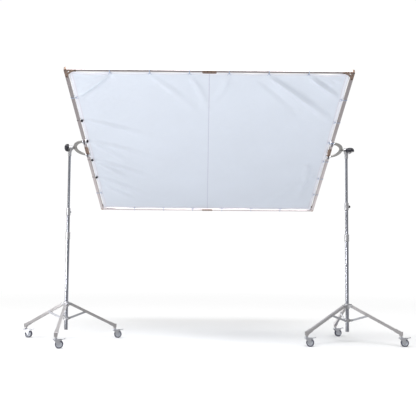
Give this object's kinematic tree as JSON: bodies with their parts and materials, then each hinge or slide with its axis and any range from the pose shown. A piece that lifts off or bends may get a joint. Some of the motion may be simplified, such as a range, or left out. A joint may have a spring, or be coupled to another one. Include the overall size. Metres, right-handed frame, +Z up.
{
  "type": "overhead scrim frame on wheeled stands",
  "caption": "Square tube scrim frame with laced white fabric, tilting between two telescopic stands on folding bases with braked casters.",
  "frame": {"origin": "on the floor, half way between the two columns, straight below the middle of the frame's tilt axis", "axes": "+X to the right along the tilt axis, +Y to the back (the low edge of the frame), +Z up"},
  "size_m": [3.7538, 2.2245, 2.4073],
  "materials": {
    "frame_aluminium": "mill finish, lightly brushed along the tube",
    "bronzed_plate": "brown passivated plate",
    "dark_bolts": "black oxide",
    "ear_plate": "dull zinc",
    "clamp_zinc": "bright zinc",
    "white_silk": "thin translucent woven cloth",
    "tie_cord": "pale cord",
    "chrome_tube": "polished",
    "cast_collar": "satin die casting",
    "grey_plastic": "matte",
    "black_knob": "satin",
    "leg_tube": "zinc plated, brushed",
    "zinc_steel": "zinc plated",
    "wheel_rubber": "grey-black rubber on a pale web"
  },
  "bodies": {
    "stands": {"lower_tubes": "chrome_tube", "lower_collars": "cast_collar", "brace_collars": "cast_collar", "column_feet": "grey_plastic"},
    "left_mid": {"left_mid_tube": "chrome_tube", "left_upper_collar": "cast_collar"},
    "left_top": {"left_top_tube": "chrome_tube", "left_head": "cast_collar"},
    "left_hub": {"left_hub": "cast_collar"},
    "left_head_knob": {"left_head_knob": "black_knob"},
    "left_lower_knob": {"left_lower_knob": "black_knob"},
    "left_upper_knob": {"left_upper_knob": "black_knob"},
    "left_hub_knob": {"left_hub_knob": "black_knob"},
    "left_leg_1": {"left_leg_1": "leg_tube"},
    "left_brace_1": {"left_brace_1": "zinc_steel"},
    "left_fork_1": {"left_fork_1": "zinc_steel"},
    "left_wheel_1": {"left_wheel_1": "wheel_rubber"},
    "left_pedal_1": {"left_pedal_1": "zinc_steel"},
    "left_leg_2": {"left_leg_2": "leg_tube"},
    "left_brace_2": {"left_brace_2": "zinc_steel"},
    "left_fork_2": {"left_fork_2": "zinc_steel"},
    "left_wheel_2": {"left_wheel_2": "wheel_rubber"},
    "left_pedal_2": {"left_pedal_2": "zinc_steel"},
    "left_leg_3": {"left_leg_3": "leg_tube"},
    "left_brace_3": {"left_brace_3": "zinc_steel"},
    "left_fork_3": {"left_fork_3": "zinc_steel"},
    "left_wheel_3": {"left_wheel_3": "wheel_rubber"},
    "left_pedal_3": {"left_pedal_3": "zinc_steel"},
    "right_mid": {"right_mid_tube": "chrome_tube", "right_upper_collar": "cast_collar"},
    "right_top": {"right_top_tube": "chrome_tube", "right_head": "cast_collar"},
    "right_hub": {"right_hub": "cast_collar"},
    "right_head_knob": {"right_head_knob": "black_knob"},
    "right_lower_knob": {"right_lower_knob": "black_knob"},
    "right_upper_knob": {"right_upper_knob": "black_knob"},
    "right_hub_knob": {"right_hub_knob": "black_knob"},
    "right_leg_1": {"right_leg_1": "leg_tube"},
    "right_brace_1": {"right_brace_1": "zinc_steel"},
    "right_fork_1": {"right_fork_1": "zinc_steel"},
    "right_wheel_1": {"right_wheel_1": "wheel_rubber"},
    "right_pedal_1": {"right_pedal_1": "zinc_steel"},
    "right_leg_2": {"right_leg_2": "leg_tube"},
    "right_brace_2": {"right_brace_2": "zinc_steel"},
    "right_fork_2": {"right_fork_2": "zinc_steel"},
    "right_wheel_2": {"right_wheel_2": "wheel_rubber"},
    "right_pedal_2": {"right_pedal_2": "zinc_steel"},
    "right_leg_3": {"right_leg_3": "leg_tube"},
    "right_brace_3": {"right_brace_3": "zinc_steel"},
    "right_fork_3": {"right_fork_3": "zinc_steel"},
    "right_wheel_3": {"right_wheel_3": "wheel_rubber"},
    "right_pedal_3": {"right_pedal_3": "zinc_steel"},
    "frame": {"frame_tubes": "frame_aluminium", "frame_corners": "bronzed_plate", "frame_splices": "bronzed_plate", "frame_bolts": "dark_bolts", "frame_ears": "ear_plate", "ear_clamps": "clamp_zinc", "scrim_fabric": "white_silk", "scrim_ties": "tie_cord"}
  },
  "joints": [
    {"name": "left_mid_slide", "type": "slide", "parent": "stands", "child": "left_mid", "axis": [0, 0, 1], "range_m": [-0.165, 0.45]},
    {"name": "left_top_slide", "type": "slide", "parent": "left_mid", "child": "left_top", "axis": [0, 0, 1], "range_m": [-0.44, 0.23]},
    {"name": "left_hub_slide", "type": "slide", "parent": "stands", "child": "left_hub", "axis": [0, 0, 1], "range_m": [0, 0.2067]},
    {"name": "left_lower_knob_turn", "type": "hinge", "parent": "stands", "child": "left_lower_knob", "pos_m": [-1.368, 0, 1.019], "axis": [-0.0872, 0.9962, 0], "range_deg": [0, 360]},
    {"name": "left_upper_knob_turn", "type": "hinge", "parent": "left_mid", "child": "left_upper_knob", "pos_m": [-1.368, 0, 1.254], "axis": [0.1736, 0.9848, 0], "range_deg": [0, 360]},
    {"name": "left_hub_knob_turn", "type": "hinge", "parent": "left_hub", "child": "left_hub_knob", "pos_m": [-1.368, 0, 0.357], "axis": [-0.0262, 0.9997, 0], "range_deg": [0, 360]},
    {"name": "left_head_knob_turn", "type": "hinge", "parent": "left_top", "child": "left_head_knob", "pos_m": [-1.3805, 0, 1.8885], "axis": [-1, 0, 0], "range_deg": [0, 360]},
    {"name": "left_leg_1_fold", "type": "hinge", "parent": "left_hub", "child": "left_leg_1", "pos_m": [-1.33389, 0.0209, 0.357], "axis": [-0.5225, 0.8526, 0], "range_deg": [0, 43.77]},
    {"name": "left_brace_1_fold", "type": "hinge", "parent": "left_leg_1", "child": "left_brace_1", "pos_m": [-1.18857, 0.10995, 0.27304], "axis": [-0.5225, 0.8526, 0], "range_deg": [-94.74, 0]},
    {"name": "left_fork_1_swivel", "type": "hinge", "parent": "left_leg_1", "child": "left_fork_1", "pos_m": [-0.92889, 0.26909, 0.08], "axis": [0, 0, 1], "continuous": true},
    {"name": "left_wheel_1_spin", "type": "hinge", "parent": "left_fork_1", "child": "left_wheel_1", "pos_m": [-0.8972, 0.27354, 0.0375], "axis": [-0.1392, 0.9903, 0], "continuous": true},
    {"name": "left_pedal_1_press", "type": "hinge", "parent": "left_fork_1", "child": "left_pedal_1", "pos_m": [-0.8774, 0.27632, 0.078], "axis": [-0.1392, 0.9903, 0], "range_deg": [0, 12]},
    {"name": "left_leg_2_fold", "type": "hinge", "parent": "left_hub", "child": "left_leg_2", "pos_m": [-1.40315, 0.01909, 0.357], "axis": [-0.4772, -0.8788, 0], "range_deg": [0, 43.77]},
    {"name": "left_brace_2_fold", "type": "hinge", "parent": "left_leg_2", "child": "left_brace_2", "pos_m": [-1.55294, 0.10041, 0.27304], "axis": [-0.4772, -0.8788, 0], "range_deg": [-94.74, 0]},
    {"name": "left_fork_2_swivel", "type": "hinge", "parent": "left_leg_2", "child": "left_fork_2", "pos_m": [-1.82059, 0.24574, 0.08], "axis": [0, 0, 1], "continuous": true},
    {"name": "left_wheel_2_spin", "type": "hinge", "parent": "left_fork_2", "child": "left_wheel_2", "pos_m": [-1.78929, 0.23908, 0.0375], "axis": [0.2079, 0.9781, 0], "continuous": true},
    {"name": "left_pedal_2_press", "type": "hinge", "parent": "left_fork_2", "child": "left_pedal_2", "pos_m": [-1.76973, 0.23492, 0.078], "axis": [0.2079, 0.9781, 0], "range_deg": [0, 12]},
    {"name": "left_leg_3_fold", "type": "hinge", "parent": "left_hub", "child": "left_leg_3", "pos_m": [-1.36695, -0.03999, 0.357], "axis": [0.9997, 0.0262, 0], "range_deg": [0, 43.77]},
    {"name": "left_brace_3_fold", "type": "hinge", "parent": "left_leg_3", "child": "left_brace_3", "pos_m": [-1.36249, -0.21037, 0.27304], "axis": [0.9997, 0.0262, 0], "range_deg": [-94.74, 0]},
    {"name": "left_fork_3_swivel", "type": "hinge", "parent": "left_leg_3", "child": "left_fork_3", "pos_m": [-1.35452, -0.51482, 0.08], "axis": [0, 0, 1], "continuous": true},
    {"name": "left_wheel_3_spin", "type": "hinge", "parent": "left_fork_3", "child": "left_wheel_3", "pos_m": [-1.3226, -0.51259, 0.0375], "axis": [-0.0698, 0.9976, 0], "continuous": true},
    {"name": "left_pedal_3_press", "type": "hinge", "parent": "left_fork_3", "child": "left_pedal_3", "pos_m": [-1.30265, -0.5112, 0.078], "axis": [-0.0698, 0.9976, 0], "range_deg": [0, 12]},
    {"name": "right_mid_slide", "type": "slide", "parent": "stands", "child": "right_mid", "axis": [0, 0, 1], "range_m": [-0.165, 0.45]},
    {"name": "right_top_slide", "type": "slide", "parent": "right_mid", "child": "right_top", "axis": [0, 0, 1], "range_m": [-0.44, 0.23]},
    {"name": "right_hub_slide", "type": "slide", "parent": "stands", "child": "right_hub", "axis": [0, 0, 1], "range_m": [0, 0.2067]},
    {"name": "right_lower_knob_turn", "type": "hinge", "parent": "stands", "child": "right_lower_knob", "pos_m": [1.368, 0, 1.019], "axis": [0.2588, 0.9659, 0], "range_deg": [0, 360]},
    {"name": "right_upper_knob_turn", "type": "hinge", "parent": "right_mid", "child": "right_upper_knob", "pos_m": [1.368, 0, 1.329], "axis": [0.788, 0.6157, 0], "range_deg": [0, 360]},
    {"name": "right_hub_knob_turn", "type": "hinge", "parent": "right_hub", "child": "right_hub_knob", "pos_m": [1.368, 0, 0.357], "axis": [0.848, 0.5299, 0], "range_deg": [0, 360]},
    {"name": "right_head_knob_turn", "type": "hinge", "parent": "right_top", "child": "right_head_knob", "pos_m": [1.388, -0.065, 1.863], "axis": [0, 0, 1], "range_deg": [0, 360]},
    {"name": "right_leg_1_fold", "type": "hinge", "parent": "right_hub", "child": "right_leg_1", "pos_m": [1.40332, -0.01878, 0.357], "axis": [0.4695, 0.8829, 0], "range_deg": [0, 43.77]},
    {"name": "right_brace_1_fold", "type": "hinge", "parent": "right_leg_1", "child": "right_brace_1", "pos_m": [1.55381, -0.0988, 0.27304], "axis": [0.4695, 0.8829, 0], "range_deg": [-94.74, 0]},
    {"name": "right_fork_1_swivel", "type": "hinge", "parent": "right_leg_1", "child": "right_fork_1", "pos_m": [1.82272, -0.24178, 0.08], "axis": [0, 0, 1], "continuous": true},
    {"name": "right_wheel_1_spin", "type": "hinge", "parent": "right_fork_1", "child": "right_wheel_1", "pos_m": [1.85454, -0.24512, 0.0375], "axis": [0.1045, 0.9945, 0], "continuous": true},
    {"name": "right_pedal_1_press", "type": "hinge", "parent": "right_fork_1", "child": "right_pedal_1", "pos_m": [1.87443, -0.24721, 0.078], "axis": [0.1045, 0.9945, 0], "range_deg": [0, 12]},
    {"name": "right_leg_2_fold", "type": "hinge", "parent": "right_hub", "child": "right_leg_2", "pos_m": [1.3666, 0.03998, 0.357], "axis": [-0.9994, -0.0349, 0], "range_deg": [0, 43.77]},
    {"name": "right_brace_2_fold", "type": "hinge", "parent": "right_leg_2", "child": "right_brace_2", "pos_m": [1.36066, 0.21031, 0.27304], "axis": [-0.9994, -0.0349, 0], "range_deg": [-94.74, 0]},
    {"name": "right_fork_2_swivel", "type": "hinge", "parent": "right_leg_2", "child": "right_fork_2", "pos_m": [1.35003, 0.51469, 0.08], "axis": [0, 0, 1], "continuous": true},
    {"name": "right_wheel_2_spin", "type": "hinge", "parent": "right_fork_2", "child": "right_wheel_2", "pos_m": [1.38108, 0.52243, 0.0375], "axis": [-0.2419, 0.9703, 0], "continuous": true},
    {"name": "right_pedal_2_press", "type": "hinge", "parent": "right_fork_2", "child": "right_pedal_2", "pos_m": [1.40048, 0.52727, 0.078], "axis": [-0.2419, 0.9703, 0], "range_deg": [0, 12]},
    {"name": "right_leg_3_fold", "type": "hinge", "parent": "right_hub", "child": "right_leg_3", "pos_m": [1.33408, -0.0212, 0.357], "axis": [0.5299, -0.848, 0], "range_deg": [0, 43.77]},
    {"name": "right_brace_3_fold", "type": "hinge", "parent": "right_leg_3", "child": "right_brace_3", "pos_m": [1.18954, -0.11152, 0.27304], "axis": [0.5299, -0.848, 0], "range_deg": [-94.74, 0]},
    {"name": "right_fork_3_swivel", "type": "hinge", "parent": "right_leg_3", "child": "right_fork_3", "pos_m": [0.93126, -0.27291, 0.08], "axis": [0, 0, 1], "continuous": true},
    {"name": "right_wheel_3_spin", "type": "hinge", "parent": "right_fork_3", "child": "right_wheel_3", "pos_m": [0.96277, -0.27847, 0.0375], "axis": [0.1736, 0.9848, 0], "continuous": true},
    {"name": "right_pedal_3_press", "type": "hinge", "parent": "right_fork_3", "child": "right_pedal_3", "pos_m": [0.98247, -0.28194, 0.078], "axis": [0.1736, 0.9848, 0], "range_deg": [0, 12]},
    {"name": "frame_tilt", "type": "hinge", "parent": "left_top", "child": "frame", "pos_m": [-1.33, 0, 1.8885], "axis": [1, 0, 0], "continuous": true}
  ],
  "couplings": [
    {"joint": "left_leg_1_fold", "follows": "left_hub_slide", "rad_per_m": 3.6947},
    {"joint": "left_brace_1_fold", "follows": "left_hub_slide", "rad_per_m": -7.9964},
    {"joint": "left_leg_2_fold", "follows": "left_hub_slide", "rad_per_m": 3.6947},
    {"joint": "left_brace_2_fold", "follows": "left_hub_slide", "rad_per_m": -7.9964},
    {"joint": "left_leg_3_fold", "follows": "left_hub_slide", "rad_per_m": 3.6947},
    {"joint": "left_brace_3_fold", "follows": "left_hub_slide", "rad_per_m": -7.9964},
    {"joint": "right_leg_1_fold", "follows": "right_hub_slide", "rad_per_m": 3.6947},
    {"joint": "right_brace_1_fold", "follows": "right_hub_slide", "rad_per_m": -7.9964},
    {"joint": "right_leg_2_fold", "follows": "right_hub_slide", "rad_per_m": 3.6947},
    {"joint": "right_brace_2_fold", "follows": "right_hub_slide", "rad_per_m": -7.9964},
    {"joint": "right_leg_3_fold", "follows": "right_hub_slide", "rad_per_m": 3.6947},
    {"joint": "right_brace_3_fold", "follows": "right_hub_slide", "rad_per_m": -7.9964},
    {"joint": "right_mid_slide", "follows": "left_mid_slide", "ratio": 1},
    {"joint": "right_top_slide", "follows": "left_top_slide", "ratio": 1}
  ]
}
